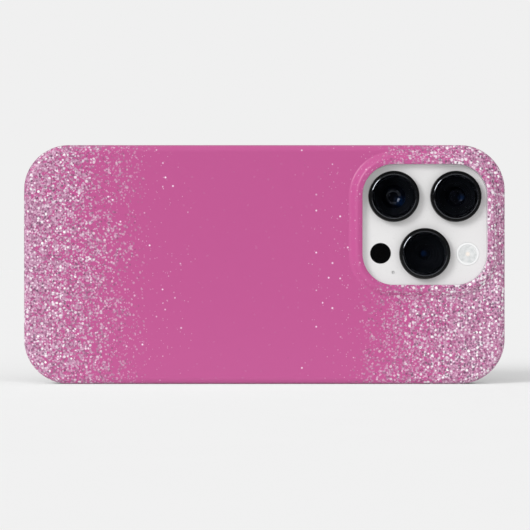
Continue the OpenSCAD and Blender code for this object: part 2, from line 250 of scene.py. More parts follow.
class Graph:
    """Short names for building a material's nodes."""

    def __init__(self, name, **principled):
        self.material = bpy.data.materials.new(name)
        self.material.use_nodes = True
        self.tree = self.material.node_tree
        self.shader = self.tree.nodes["Principled BSDF"]
        for socket, value in principled.items():
            self.shader.inputs[socket.replace("_", " ")].default_value = value
        self.coords = self.node("ShaderNodeTexCoord").outputs["Object"]

    def node(self, kind, links=None, **values):
        made = self.tree.nodes.new(kind)
        for key, value in values.items():
            setattr(made, key, value)
        for socket, value in (links or {}).items():
            self.plug(made.inputs[socket], value)
        return made

    def plug(self, socket, value):
        if isinstance(value, bpy.types.NodeSocket):
            self.tree.links.new(value, socket)
        else:
            socket.default_value = value

    def math(self, operation, a, b=0.0, clamp=False):
        return self.node("ShaderNodeMath", {0: a, 1: b}, operation=operation,
                         use_clamp=clamp).outputs[0]

    def ramp(self, value, low, high, to_low=0.0, to_high=1.0, shape="LINEAR"):
        sockets = {"Value": value, "From Min": low, "From Max": high,
                   "To Min": to_low, "To Max": to_high}
        return self.node("ShaderNodeMapRange", sockets,
                         interpolation_type=shape).outputs["Result"]

    def mix(self, factor, a, b, blend="MIX"):
        return self.node("ShaderNodeMix", {0: factor, 6: a, 7: b}, data_type="RGBA",
                         blend_type=blend).outputs[2]

    def vector(self, operation, a, b):
        return self.node("ShaderNodeVectorMath", {0: a, 1: b}, operation=operation)

    def noise(self, scale, detail=2.0, roughness=0.5, coords=None):
        sockets = {"Vector": coords or self.coords, "Scale": scale, "Detail": detail,
                   "Roughness": roughness}
        return self.node("ShaderNodeTexNoise", sockets).outputs["Fac"]

    def cells(self, scale, shift=0.0):
        """Voronoi cells: distance from the cell's point, and three random values."""
        moved = self.vector("ADD", self.coords, (shift, shift * 0.7, shift * 1.3)).outputs[0]
        made = self.node("ShaderNodeTexVoronoi", {"Vector": moved, "Scale": scale})
        split = self.node("ShaderNodeSeparateColor", {0: made.outputs["Color"]})
        return made.outputs["Distance"], split.outputs[:]

    def axes(self):
        return self.node("ShaderNodeSeparateXYZ", {0: self.coords}).outputs[:]

    def away(self, at):
        """Distance, seen square on to the back, from a point of the lying model."""
        middle = STAND @ at
        flat = self.vector("MULTIPLY", self.coords, (1, 0, 1)).outputs[0]
        return self.vector("DISTANCE", flat, (middle.x, 0, middle.z)).outputs["Value"]

    def bump(self, height, strength, distance=0.0001):
        made = self.node("ShaderNodeBump", {"Height": height, "Strength": strength,
                                            "Distance": distance})
        self.plug(self.shader.inputs["Normal"], made.outputs[0])

    def colour(self, value):
        self.plug(self.shader.inputs["Base Color"], value)

    def roughness(self, value):
        self.plug(self.shader.inputs["Roughness"], value)


# ---------------------------------------------------------------- materials

LIGHT_ON_BACK = 1.10                      # how bright a white surface on the back comes out
GLOSS_ON_BACK = 0.028                     # what its gloss adds


def lit(r, g, b):
    """The surface colour that looks like this screen colour on the lit back."""
    return tuple(max(c - GLOSS_ON_BACK, 0) / LIGHT_ON_BACK for c in srgb(r, g, b)[:3]) + (1,)


PRINT_PINK = lit(196, 91, 150)


def glitter_print():
    """Pink gloss print with silver glitter that thins out from both ends."""
    g = Graph("glitter_print", Coat_Weight=0.15, Coat_Roughness=0.15)
    x, _, z = g.axes()
    from_left = g.math("SUBTRACT", x, -CASE_L / 2 * MM)
    from_right = g.math("SUBTRACT", CASE_L / 2 * MM, x)

    left = g.ramp(from_left, 0.0, 0.040, 0.92, 0.0)
    # The right end's glitter is denser, and reaches further along its lower edge.
    reach = g.ramp(z, 0.0, CASE_W * MM, 0.0505, 0.041)
    right = g.ramp(g.math("DIVIDE", from_right, reach), 0.0, 1.0, 1.31, 0.0)
    cover = g.math("MINIMUM", g.math("MAXIMUM", left, right), 0.96)
    extra = g.ramp(right, 0.15, 0.9)
    drift = g.ramp(g.noise(95, 3), 0.3, 0.7, -0.11, 0.11)
    drift = g.math("ADD", drift, g.ramp(g.noise(420, 2), 0.3, 0.7, -0.08, 0.08))
    fade = g.ramp(cover, 0.0, 0.22)
    cover = g.math("ADD", cover, g.math("MULTIPLY", drift, fade), clamp=True)

    colour = PRINT_PINK

    # Fine dust: each small cell is a grey-pink or a silver grain.
    _, rand = g.cells(1900)
    tone = g.mix(rand[1], lit(136, 86, 119), lit(222, 184, 209))
    shape = g.ramp(g.math("SUBTRACT", cover, rand[0]), -0.02, 0.06, 0.0, 0.8)
    shape = g.math("MULTIPLY", shape, g.ramp(cover, 0.0, 0.5, 0.7, 1.0))
    shape = g.math("MULTIPLY", shape, g.ramp(extra, 0.0, 1.0, 1.0, 0.85))
    colour = g.mix(shape, colour, tone)

    # Flecks: bright flakes about half a millimetre across, paler where they crowd.
    strength = g.ramp(cover, 0.06, 0.62, 0.08, 1.0)
    for scale, share, more, size, low, high in (
        (1250, 0.42, 0.0, 0.50, lit(208, 160, 190), lit(255, 234, 248)),
        (860, 0.28, 0.32, 0.51, lit(220, 198, 214), lit(255, 255, 255)),
    ):
        distance, rand = g.cells(scale)
        chance = g.math("ADD", share, g.math("MULTIPLY", extra, more))
        chosen = g.math("LESS_THAN", rand[0], g.math("MULTIPLY", cover, chance))
        radius = g.ramp(rand[1], 0.0, 1.0, size * 0.65, size)
        shape = g.math("MULTIPLY", strength, g.ramp(g.math("SUBTRACT", radius, distance),
                                                    -0.04, 0.09))
        colour = g.mix(g.math("MULTIPLY", chosen, shape), colour, g.mix(rand[2], low, high))

    # Dark flecks, where a flake faces away.
    distance, rand = g.cells(1150, shift=0.013)
    chance = g.ramp(extra, 0.0, 1.0, 0.18, 0.48)
    chosen = g.math("LESS_THAN", rand[0], g.math("MULTIPLY", cover, chance))
    shape = g.math("MULTIPLY", strength, g.ramp(distance, 0.36, 0.50, 0.85, 0.0))
    dark = g.mix(rand[1], lit(82, 64, 82), lit(156, 112, 144))
    colour = g.mix(g.math("MULTIPLY", chosen, shape), colour, dark)

    # Lone sparkles, well past the dense ends.
    stray = g.math("MAXIMUM", g.ramp(from_left, 0.020, 0.056, 1.0, 0.0),
                   g.ramp(from_right, 0.025, 0.068, 1.0, 0.0))
    for scale, share, power, size, brightest in (
        (1500, 0.54, 1.5, 0.27, 0.33),
        (900, 0.42, 1.5, 0.24, 0.42),
        (520, 0.25, 0.9, 0.18, 1.0),
        (420, 0.20, 0.6, 0.15, 1.0),
    ):
        distance, rand = g.cells(scale, shift=0.005)
        chance = g.math("MULTIPLY", g.math("POWER", stray, power), share)
        chosen = g.math("LESS_THAN", rand[0], chance)
        radius = g.ramp(rand[1], 0.0, 1.0, size * 0.6, size)
        shape = g.ramp(g.math("SUBTRACT", radius, distance), -0.03, 0.04)
        shape = g.math("MULTIPLY", shape, g.ramp(rand[2], 0.0, 1.0, 0.2, brightest))
        colour = g.mix(g.math("MULTIPLY", chosen, shape), colour, lit(255, 232, 250))

    # What the print throws onto the paper is neutral.
    path = g.node("ShaderNodeLightPath")
    g.colour(g.mix(path.outputs["Is Diffuse Ray"], colour, lit(225, 225, 225)))
    g.roughness(g.ramp(g.noise(900), 0.3, 0.7, 0.36, 0.44))
    return g.material


def moulded(name, colour, roughness=0.45, grain=0.05, scale=4000, variation=0.03, **more):
    """Moulded plastic, paint or coated glass: fine grain and a slight drift of tone."""
    g = Graph(name, **more)
    drift = g.ramp(g.noise(60, 3), 0.3, 0.7)
    g.colour(g.mix(drift, scaled(colour, 1 - variation), scaled(colour, 1 + variation)))
    g.roughness(g.ramp(g.noise(scale / 4), 0.3, 0.7, roughness * 0.9, roughness * 1.1))
    g.bump(g.noise(scale), grain)
    return g.material


def metal(name, colour, roughness=0.25, stretch=(1, 1, 1), grain=0.04):
    """Metal with a fine brushed or blasted grain."""
    g = Graph(name, Metallic=1.0)
    along = g.vector("MULTIPLY", g.coords, stretch).outputs[0]
    lines = g.noise(3000, 3, coords=along)
    g.colour(g.mix(g.ramp(lines, 0.3, 0.7), scaled(colour, 0.92), colour))
    g.roughness(g.ramp(lines, 0.3, 0.7, roughness * 0.8, roughness * 1.2))
    g.bump(lines, grain)
    return g.material


def clear(name, tint, roughness=0.01):
    """Clear glass that lets the lamps through."""
    g = Graph(name, Transmission_Weight=1.0, IOR=1.5)
    g.colour(tint)
    g.roughness(g.ramp(g.noise(70, 4), 0.35, 0.7, roughness, roughness + 0.02))
    path = g.node("ShaderNodeLightPath")
    open_glass = g.node("ShaderNodeBsdfTransparent", {"Color": tint})
    mix = g.node("ShaderNodeMixShader", {0: path.outputs["Is Shadow Ray"],
                                         1: g.shader.outputs[0], 2: open_glass.outputs[0]})
    g.plug(g.tree.nodes["Material Output"].inputs["Surface"], mix.outputs[0])
    return g.material


def mesh_cloth(name, colour):
    """A woven metal mesh: two crossing waves."""
    g = Graph(name, Metallic=0.8, Roughness=0.5)
    bands = []
    for direction in ("X", "Y", "Z"):
        wave = g.node("ShaderNodeTexWave", {"Vector": g.coords, "Scale": 900.0},
                      bands_direction=direction)
        bands.append(wave.outputs["Fac"])
    weave = g.math("MULTIPLY", bands[2], g.math("MAXIMUM", bands[0], bands[1]))
    g.colour(g.mix(weave, scaled(colour, 0.15), colour))
    g.bump(weave, 0.6)
    return g.material


def inner_glass(i, gloss):
    """Black glass with a faint painted blue reflection of its coating beside the middle of lens i.
    """
    g = Graph(f"inner_glass_{i}", Specular_IOR_Level=gloss)
    # Painted reflection: a blue patch, fixed beside the middle, where the coating's sheen would
    # catch the light.
    right, up, radius = INNER[i]["painted_sheen"]
    away = g.away(lying(f"lens_ring_{i}")[1] + Vector((right, up, 0)))
    painted_sheen = g.ramp(away, radius * 0.2 * MM, radius * MM, 1.0, 0.0, "SMOOTHSTEP")
    painted_sheen = g.math("MULTIPLY", painted_sheen, g.ramp(g.noise(700), 0.3, 0.7, 0.7, 1.0))
    g.colour(g.mix(painted_sheen, srgb(4, 5, 8), srgb(8, 25, 46)))
    g.roughness(g.ramp(g.noise(60), 0.3, 0.7, 0.05, 0.07))
    return g.material


def flash_glass():
    """Milky ribbed glass, with the warm chips just showing in its middle."""
    g = Graph("flash_glass", Transmission_Weight=0.12, IOR=1.5, Roughness=0.22)
    away = g.away(lying("flash_lens")[1])
    warm = g.ramp(away, 0.3 * MM, 1.0 * MM, 1.0, 0.0, "SMOOTHSTEP")
    milk = g.mix(g.ramp(g.noise(800), 0.35, 0.65), (0.68, 0.70, 0.70, 1), (0.82, 0.83, 0.83, 1))
    g.colour(g.mix(warm, milk, (0.96, 0.88, 0.81, 1)))
    return g.material


def dark_screen():
    """Black glass, with the panel just showing around the front camera's black island."""
    g = Graph("dark_screen", Specular_IOR_Level=0.45)
    (panel_l, panel_w, _), _ = lying("display_panel")
    border = 1.0
    soft = 0.0002
    x, _, z = g.axes()
    from_middle = g.math("ABSOLUTE", g.math("SUBTRACT", z, MID_Z))
    past_x = g.math("SUBTRACT", g.math("ABSOLUTE", x), (panel_l / 2 - border) * MM)
    past_z = g.math("SUBTRACT", from_middle, (panel_w / 2 - border) * MM)
    edge = g.ramp(g.math("MAXIMUM", past_x, past_z), -soft, soft)

    # The island is a pill across the screen: half of its straight part, and its radius.
    island_half, island_r = 7.3, 3.0
    along = g.math("SUBTRACT", x, lying("front_camera_module")[1].x * MM)
    across = g.math("MAXIMUM", g.math("SUBTRACT", from_middle, island_half * MM), 0.0)
    away = g.math("SQRT", g.math("ADD", g.math("MULTIPLY", along, along),
                                 g.math("MULTIPLY", across, across)))
    island = g.ramp(away, island_r * MM - soft / 2, island_r * MM + soft / 2, 1.0, 0.0)
    g.colour(g.mix(g.math("MAXIMUM", edge, island), srgb(30, 31, 35), srgb(3, 3, 4)))
    g.roughness(g.ramp(g.noise(45, 4), 0.35, 0.7, 0.03, 0.07))
    return g.material


PRINT = glitter_print()
BARE = moulded("bare_shell", lit(236, 226, 233), 0.35, 0.03)
LINER = moulded("liner_tpu", lit(214, 206, 212), 0.5, 0.10, 2500, Subsurface_Weight=0.15,
                Subsurface_Scale=0.001)
CAP = moulded("cap_pink", lit(190, 86, 144), 0.38, 0.06, Coat_Weight=0.2)
STEEL = metal("frame_steel", srgb(224, 224, 227), 0.14, (1, 1, 40), 0.01)
KEY_STEEL = metal("button_steel", srgb(214, 214, 218), 0.2, (1, 30, 30), 0.02)
PORT_STEEL = metal("port_steel", srgb(130, 132, 136), 0.35)
ALLOY = metal("alloy", srgb(170, 172, 176), 0.4)
COPPER = metal("copper", srgb(190, 120, 70), 0.3)
BREAK = moulded("antenna_break", lit(205, 205, 208), 0.4)
BACK_GLASS = moulded("back_glass", lit(226, 226, 225), 0.42, 0.02, 6000, 0.01)
PLATEAU = moulded("plateau_glass", lit(234, 233, 233), 0.3, 0.01, 6000, 0.008,
                  Coat_Weight=0.3, Coat_Roughness=0.1)
DARK = moulded("dark_plastic", srgb(16, 16, 18), 0.4)
BATTERY = moulded("battery_wrap", srgb(52, 52, 54), 0.5)
BOARD = moulded("board_green", srgb(30, 74, 56), 0.45)
MESH = mesh_cloth("mesh_metal", srgb(130, 130, 134))
PANEL = moulded("display_panel", srgb(5, 5, 7), 0.2, 0.01)
SCREEN = dark_screen()
COVER = clear("lens_cover", srgb(236, 240, 250))
RING = moulded("ring_black", srgb(8, 8, 9), 0.25, 0.02, 5000)
GROUND_EDGE = metal("ground_edge", srgb(96, 98, 102), 0.12)
SENSOR_BLACK = moulded("sensor_black", srgb(5, 5, 6), 0.12, 0.01)
BARREL = moulded("lens_barrel", srgb(4, 5, 6), 0.6, 0.04, Specular_IOR_Level=0.05)
DIFFUSER = flash_glass()
FLASH_BASE = moulded("flash_base", lit(246, 247, 247), 0.4, 0.03)
LED = moulded("flash_led", lit(255, 246, 238), 0.5)
MIC = moulded("mic_mesh", lit(212, 212, 212), 0.5)


# ---------------------------------------------------------------- mesh helpers, in mm

FACING = {
    "+z": Matrix.Identity(3),
    "+y": Matrix(((1, 0, 0), (0, 0, 1), (0, -1, 0))),
    "-y": Matrix(((1, 0, 0), (0, 0, -1), (0, 1, 0))),
    "-x": Matrix(((0, 0, -1), (-1, 0, 0), (0, 1, 0))),
}
CORNERS = ((1, 1, 0), (-1, 1, 90), (-1, -1, 180), (1, -1, 270))


def arc(cx, cz, radius, start, end, steps):
    """Points along an arc, in degrees, as (out, height) pairs."""
    found = []
    for i in range(steps + 1):
        a = math.radians(start + (end - start) * i / steps)
        found.append((cx + radius * math.cos(a), cz + radius * math.sin(a)))
    return found


def solid(vertices, faces, tint=0):
    """A closed mesh whose faces all take the material slot tint."""
    mesh = bpy.data.meshes.new("solid")
    mesh.from_pydata(vertices, [], faces)
    mesh.materials.append(None)
    mesh.materials.append(None)
    bm = bmesh.new()
    bm.from_mesh(mesh)
    bmesh.ops.remove_doubles(bm, verts=bm.verts, dist=1e-4)
    bmesh.ops.dissolve_degenerate(bm, edges=bm.edges, dist=1e-5)
    bmesh.ops.recalc_face_normals(bm, faces=bm.faces)
    if bm.calc_volume(signed=True) < 0:
        bmesh.ops.reverse_faces(bm, faces=bm.faces)
    for face in bm.faces:
        face.material_index = tint
    bm.to_mesh(mesh)
    bm.free()
    made = bpy.data.objects.new("solid", mesh)
    bpy.context.collection.objects.link(made)
    return made


def loft(loops, tint=0, ring=False):
    """A solid through loops of points, capped at both ends or closed on itself."""
    count = len(loops[0])
    vertices = [point for loop in loops for point in loop]
    faces = []
    for row in range(len(loops) if ring else len(loops) - 1):
        a, b = row * count, (row + 1) % len(loops) * count
        faces += [(a + i, a + (i + 1) % count, b + (i + 1) % count, b + i)
                  for i in range(count)]
    if not ring:
        faces.append(tuple(range(count)))
        faces.append(tuple(range(len(vertices) - count, len(vertices))))
    return solid(vertices, faces, tint)


def placed(piece, facing, at):
    piece.data.transform(Matrix.Translation(at) @ FACING[facing].to_4x4())
    return piece


def swept(l, w, r, profile, tint=0, at=(0, 0, 0), facing="+z", ring=False, steps=24):
    """A rounded rectangle whose edge is the (out, height) profile: out runs from its
    outline, negative inwards, and height runs the way that it faces."""
    loops = []
    for out, height in profile:
        loop = []
        for sx, sy, turn in CORNERS:
            loop += [(sx * (l / 2 - r) + x, sy * (w / 2 - r) + y, height)
                     for x, y in arc(0, 0, max(r + out, 0), turn, turn + 90, steps)]
        loops.append(loop)
    return placed(loft(loops, tint, ring), facing, at)


def lathe(profile, tint=0, at=(0, 0, 0), facing="+z", ring=False, steps=96):
    """Turns an (r, height) profile about its axis."""
    loops = []
    for r, height in profile:
        circle = arc(0, 0, r, 0, 360 * (steps - 1) / steps, steps - 1)
        loops.append([(x, y, height) for x, y in circle])
    return placed(loft(loops, tint, ring), facing, at)


def pillow(z0, z1, e0, e1, steps=8):
    """A slab's edge with rounded lower and upper corners."""
    return arc(-e0, z0 + e0, e0, -90, 0, steps) + arc(-e1, z1 - e1, e1, 0, 90, steps)


def slot(l, h, facing, x, depth, tint=0, corner=99, steps=10):
    """A long hole through a side wall: x is its place along that side."""
    side = {"+y": PHONE_W / 2, "-y": PHONE_W / 2, "-x": PHONE_L / 2}[facing]
    at = {"+y": (x, 0, SIDE_Z), "-y": (x, 0, SIDE_Z), "-x": (0, x, SIDE_Z)}[facing]
    corner = min(corner, h / 2 - 0.01)
    return swept(l, h, corner, [(0, side - depth), (0, side + 6)], tint, at, facing,
                 steps=steps)


def notch(x0, x1, side, y0, y1, z0, top, tint=0):
    """A notch open towards the front, with two round corners at its end."""
    radius = 1.5
    outline = [(x0, z0), (x1, z0)]
    outline += arc(x1 - radius, top - radius, radius, 0, 90, 8)
    outline += arc(x0 + radius, top - radius, radius, 90, 180, 8)
    return loft([[(x, side * y, z) for x, z in outline] for y in (y0, y1)], tint)


def combine(piece, other, operation="DIFFERENCE"):
    """Cuts, adds or keeps the overlap with other, which is then removed."""
    step = piece.modifiers.new("combine", "BOOLEAN")
    step.object = other
    step.operation = operation
    step.solver = "MANIFOLD"
    bake_modifiers(piece)
    bpy.data.objects.remove(other)
    return piece


def bake_modifiers(piece):
    depsgraph = bpy.context.evaluated_depsgraph_get()
    made = bpy.data.meshes.new_from_object(piece.evaluated_get(depsgraph))
    piece.modifiers.clear()
    piece.data = made


def soften(piece, width, angle=38, segments=2):
    """Rounds every edge sharper than the angle."""
    bevel = piece.modifiers.new("soften", "BEVEL")
    bevel.width = width
    bevel.segments = segments
    bevel.limit_method = "ANGLE"
    bevel.angle_limit = math.radians(angle)
    bevel.miter_outer = "MITER_ARC"
    bake_modifiers(piece)
    return piece


def settle(piece, name, materials, body, nodes, sharp=35):
    """Stands a finished piece up in the frame and says what it is."""
    mesh = piece.data
    tints = [polygon.material_index for polygon in mesh.polygons]
    mesh.materials.clear()
    for material in materials:
        mesh.materials.append(material)
    for polygon, tint in zip(mesh.polygons, tints):
        polygon.material_index = tint
    mesh.transform(STAND)
    mesh.update()
    for polygon in mesh.polygons:
        polygon.use_smooth = True
    mesh.set_sharp_from_angle(angle=math.radians(sharp))
    normals = piece.modifiers.new("normals", "WEIGHTED_NORMAL")
    normals.keep_sharp = True
    piece.name = name
    mesh.name = name
    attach(piece, body)
    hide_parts(*nodes)
    return piece


# ---------------------------------------------------------------- case

def notch_spans():
    """Where the two notches run along the case: (x0, x1, side)."""
    (side_l, _, _), side_at = lying("power_cap")
    (cap_l, _, _), up_at = lying("volume_up_cap")
    down_at = lying("volume_down_cap")[1]
    return (
        (side_at.x - side_l / 2 - NOTCH_SIDE, side_at.x + side_l / 2 + NOTCH_SIDE, 1),
        (down_at.x - cap_l / 2 - NOTCH_SIDE, up_at.x + cap_l / 2 + 1.0, -1),
    )


def end_slots(spare, depth, tint=0):
    """The windows at the charging end, each grown by spare all round."""
    rows = [(0, PORT_WINDOW), (-GRILLE_Y, GRILLE_WINDOW), (GRILLE_Y, GRILLE_WINDOW)]
    return [slot(l + 2 * spare, h + 2 * spare, "-x", y, depth, tint) for y, (l, h) in rows]


def mute_slot(spare, depth, tint=0):
    l, h = MUTE_WINDOW
    return slot(l + 2 * spare, h + 2 * spare, "-y", lying("mute_slider")[1].x, depth, tint)


def guard_profile():
    """The smooth rise around the camera window, which rolls over towards its edge."""
    steps = 20
    profile = [(GUARD_W, SHELL_BACK_Z - 0.3)]
    for i in range(steps + 1):
        t = i / steps
        profile.append((GUARD_CREST + (GUARD_W - GUARD_CREST) * (1 - t),
                        SHELL_BACK_Z + (GUARD_Z - SHELL_BACK_Z) * (1 - math.cos(math.pi * t)) / 2))
    for i in range(1, 10):
        t = i / 8
        profile.append((GUARD_CREST * (1 - t), GUARD_Z - GUARD_ROLL * t ** 2))
    return profile


def build_shell():
    printed, bare = 0, 1
    shell = swept(CASE_L, CASE_W, CASE_R,
                  arc(-0.2, RIM_Z + 0.2, 0.2, -90, 0, 3)
                  + arc(-EDGE_R, SHELL_BACK_Z - EDGE_R, EDGE_R, 0, 90, 16), printed)
    at = (WINDOW_AT.x, WINDOW_AT.y, 0)
    combine(shell, swept(WINDOW_L, WINDOW_W, WINDOW_R, guard_profile(), printed, at), "UNION")
    inner_r = CASE_R - SHELL_T
    inner_edge = EDGE_R - SHELL_T
    combine(shell, swept(CASE_L - 2 * SHELL_T, CASE_W - 2 * SHELL_T, inner_r,
                         [(0, FRONT_Z - 3)]
                         + arc(-inner_edge, SHELL_INNER_Z - inner_edge, inner_edge, 0, 90, 10),
                         bare))
    combine(shell, swept(WINDOW_L, WINDOW_W, WINDOW_R, [(0, -1), (0, GUARD_Z + 1)], bare, at))
    for x0, x1, side in notch_spans():
        combine(shell, notch(x0, x1, side, PHONE_W / 2, CASE_W / 2 + 1, FRONT_Z - 2, NOTCH_TOP,
                             bare))
    for cut in end_slots(0, 0, bare) + [mute_slot(0, 0, bare)]:
        combine(shell, cut)
    for polygon in shell.data.polygons:
        if polygon.center.z < RIM_Z + 0.01:
            polygon.material_index = bare
    soften(shell, 0.12)
    return settle(shell, "hard_shell", [PRINT, BARE], "case_shell", ["outer_shell"])


def build_liner():
    grow = FIT + LINER_T
    edge = EDGE_R - SHELL_T - SEAT
    body = swept(PHONE_L + 2 * grow, PHONE_W + 2 * grow, PHONE_R + grow,
                 arc(-0.2, FRONT_Z + 0.5, 0.2, -90, 0, 2)
                 + arc(-edge, LINER_BACK_Z - edge, edge, 0, 90, 10))
    combine(body, swept(CASE_L - 0.2, CASE_W - 0.2, CASE_R - 0.1,
                        pillow(FRONT_Z, RIM_Z - SEAT, 0.45, 0.2)), "UNION")
    pad_y = PHONE_W / 2 + grow - 0.1
    for x0, x1, side in notch_spans():
        pad = notch(x0 + FIT, x1 - FIT, side, pad_y, CASE_W / 2 - 0.25, FRONT_Z + 0.5,
                    NOTCH_TOP - FIT)
        combine(body, pad, "UNION")
    combine(body, swept(PHONE_L + 2 * FIT, PHONE_W + 2 * FIT, PHONE_R + FIT,
                        pillow(SCREEN_Z - FIT, FIT, 0.3, 0.5, 4)))
    combine(body, swept(PHONE_L - 2 * LIP_REACH, PHONE_W - 2 * LIP_REACH, PHONE_R - LIP_REACH,
                        [(0.5, FRONT_Z - 0.5), (0, FRONT_Z + 0.35), (0, SIDE_Z)]))
    combine(body, swept(WINDOW_L + 0.3, WINDOW_W + 0.3, WINDOW_R + 0.15, [(0, -1), (0, 2)],
                        at=(WINDOW_AT.x, WINDOW_AT.y, 0)))
    for cap, facing in CAPS.items():
        (l, _, h), at = lying(cap)
        combine(body, slot(l + 2 * FIT, h + 2 * FIT, facing, at.x, 0))
    for cut in end_slots(-0.3, 0) + [mute_slot(-0.3, 0)]:
        combine(body, cut)
    soften(body, 0.10)
    return settle(body, "soft_liner", [LINER], "liner", ["inner_liner"])


def build_caps():
    """Each cap is a rounded pill, very slightly dished where the finger rests."""
    for cap, facing in CAPS.items():
        (l, depth, h), at = lying(cap)
        outer = abs(at.y) + depth / 2
        soft = 0.42
        profile = [(0, outer - depth)]
        profile += arc(-soft, outer - soft, soft, 0, 90, 8)
        profile += [(-1.0, outer), (-1.5, outer - 0.05), (-2.0, outer - 0.08)]
        piece = swept(l, h, h / 2 - 0.01, profile, at=(at.x, 0, at.z), facing=facing)
        settle(piece, f"{cap}_shell", [CAP], cap, [cap])


# ---------------------------------------------------------------- phone

def frame_profile():
    """The steel band's section: rounded outside, stepped inside for both glasses."""
    soft = 0.45
    back_z, front_z = -0.12, SCREEN_Z + 0.12
    step = GLASS_T + 0.02
    lip = -GLASS_INSET + 0.02
    profile = arc(-soft, front_z + soft, soft, -90, 0, 8)
    profile += arc(-soft, back_z - soft, soft, 0, 90, 8)
    profile += [(lip, back_z), (lip, -step), (-FRAME_T, -step)]
    profile += [(-FRAME_T, SCREEN_Z + step), (lip, SCREEN_Z + step), (lip, front_z)]
    return profile


def band():
    return swept(PHONE_L, PHONE_W, PHONE_R, frame_profile(), ring=True)


def break_blocks(width):
    """The four places where the band is interrupted."""
    depth = 1.2
    vertices, faces = [], []
    cube_faces = ((0, 1, 3, 2), (4, 6, 7, 5), (0, 4, 5, 1), (2, 3, 7, 6), (0, 2, 6, 4),
                  (1, 5, 7, 3))
    for x in BREAKS_X:
        for side in (-1, 1):
            base = len(vertices)
            ys = sorted((side * (PHONE_W / 2 - depth), side * (PHONE_W / 2 + 1)))
            vertices += [(x + dx, y, z) for dx in (-width / 2, width / 2) for y in ys
                         for z in (SCREEN_Z - 1, 1)]
            faces += [tuple(base + i for i in face) for face in cube_faces]
    return solid(vertices, faces)


def build_frame():
    piece = band()
    combine(piece, break_blocks(0.9))
    for button, facing in BUTTONS.items():
        (l, _, _), at = lying(button)
        l += 2 * (FIT - KEY_FLANGE)
        combine(piece, slot(l, KEY_H + 2 * FIT, facing, at.x, FRAME_T + 1, steps=12))
    combine(piece, slot(*MUTE_HOLE, "-y", lying("mute_slider")[1].x, FRAME_T + 1, corner=0.5))
    combine(piece, slot(*PORT_HOLE, "-x", 0, FRAME_T + 1, steps=12))
    for side in (-1, 1):
        for i in range(5):
            y = side * (SPEAKER_FIRST + SPEAKER_STEP * i)
            combine(piece, slot(SPEAKER_D, SPEAKER_D, "-x", y, FRAME_T + 1, steps=6))
        combine(piece, slot(SCREW_D, SCREW_D, "-x", side * SCREW_Y, FRAME_T + 1, steps=6))
    soften(piece, 0.07)
    settle(piece, "steel_band", [STEEL], "phone", ["phone_frame"])
    breaks = combine(band(), break_blocks(0.86), "INTERSECT")
    settle(soften(breaks, 0.03), "antenna_inserts", [BREAK], "phone", ["antenna_breaks"])


def build_glass():
    l, w, r = PHONE_L - 2 * GLASS_INSET, PHONE_W - 2 * GLASS_INSET, PHONE_R - GLASS_INSET
    back = swept(l, w, r, pillow(-GLASS_T, 0, 0.1, 0.35))
    combine(back, swept(*CAMERA_HOLE, [(0, -2), (0, 1)], at=(WINDOW_AT.x, WINDOW_AT.y, 0)))
    settle(soften(back, 0.05), "rear_glass", [BACK_GLASS], "phone", ["back_glass"])
    front = swept(l, w, r, pillow(SCREEN_Z, SCREEN_Z + GLASS_T, 0.35, 0.1))
    earpiece = lying("earpiece_mesh")[1]
    combine(front, swept(*EARPIECE, EARPIECE[0] / 2 - 0.01,
                         [(0, SCREEN_Z - 1), (0, SCREEN_Z + GLASS_T + 1)],
                         at=(earpiece.x, 0, 0), steps=8))
    settle(soften(front, 0.05), "screen_glass", [SCREEN], "phone", ["front_glass"])


def build_buttons():
    for button, facing in BUTTONS.items():
        (l, depth, _), at = lying(button)
        l -= 2 * KEY_FLANGE
        inner = PHONE_W / 2 - FRAME_T
        outer = abs(at.y) + depth / 2
        flange = KEY_FLANGE - FIT
        profile = [(flange, inner - 0.5), (flange, inner - FIT), (0, inner - FIT)]
        profile += arc(-0.2, outer - 0.2, 0.2, 0, 90, 5)
        piece = swept(l, KEY_H, KEY_H / 2 - 0.01, profile, at=(at.x, 0, SIDE_Z), facing=facing)
        settle(piece, f"{button}_key", [KEY_STEEL], button, [button])
    (l, depth, h), at = lying("mute_slider")
    outer = abs(at.y) + depth / 2
    profile = [(0, outer - depth)] + arc(-0.18, outer - 0.18, 0.18, 0, 90, 5)
    piece = swept(l, h, 0.5, profile, at=(at.x, 0, at.z), facing="-y", steps=8)
    settle(piece, "mute_slider_key", [KEY_STEEL], "mute_slider", ["mute_slider"])


# ---------------------------------------------------------------- camera

def lens_at(i):
    at = lying(f"lens_ring_{i}")[1]
    return (at.x, at.y, 0)


def build_plateau():
    plate = swept(WINDOW_L - 2 * PLATE_GAP, WINDOW_W - 2 * PLATE_GAP, WINDOW_R - PLATE_GAP,
                  pillow(0.02, PLATEAU_Z, 0.1, 0.08), at=(WINDOW_AT.x, WINDOW_AT.y, 0))
    for i in INNER:
        combine(plate, lathe([(NECK_R + 0.02, -1), (NECK_R + 0.02, 3)], at=lens_at(i)))
    for node, spare, floor_z in (("depth_sensor_window", 0.02, PLATEAU_Z - 0.8),
                                 ("flash_lens", 0.02, -1), ("rear_mic_mesh", 0.04, -1)):
        (d, _, _), at = lying(node)
        combine(plate, lathe([(d / 2 + spare, floor_z), (d / 2 + spare, 3)],
                             at=(at.x, at.y, 0)))
    settle(soften(plate, 0.05), "camera_plate", [PLATEAU], "phone", ["camera_plateau"])


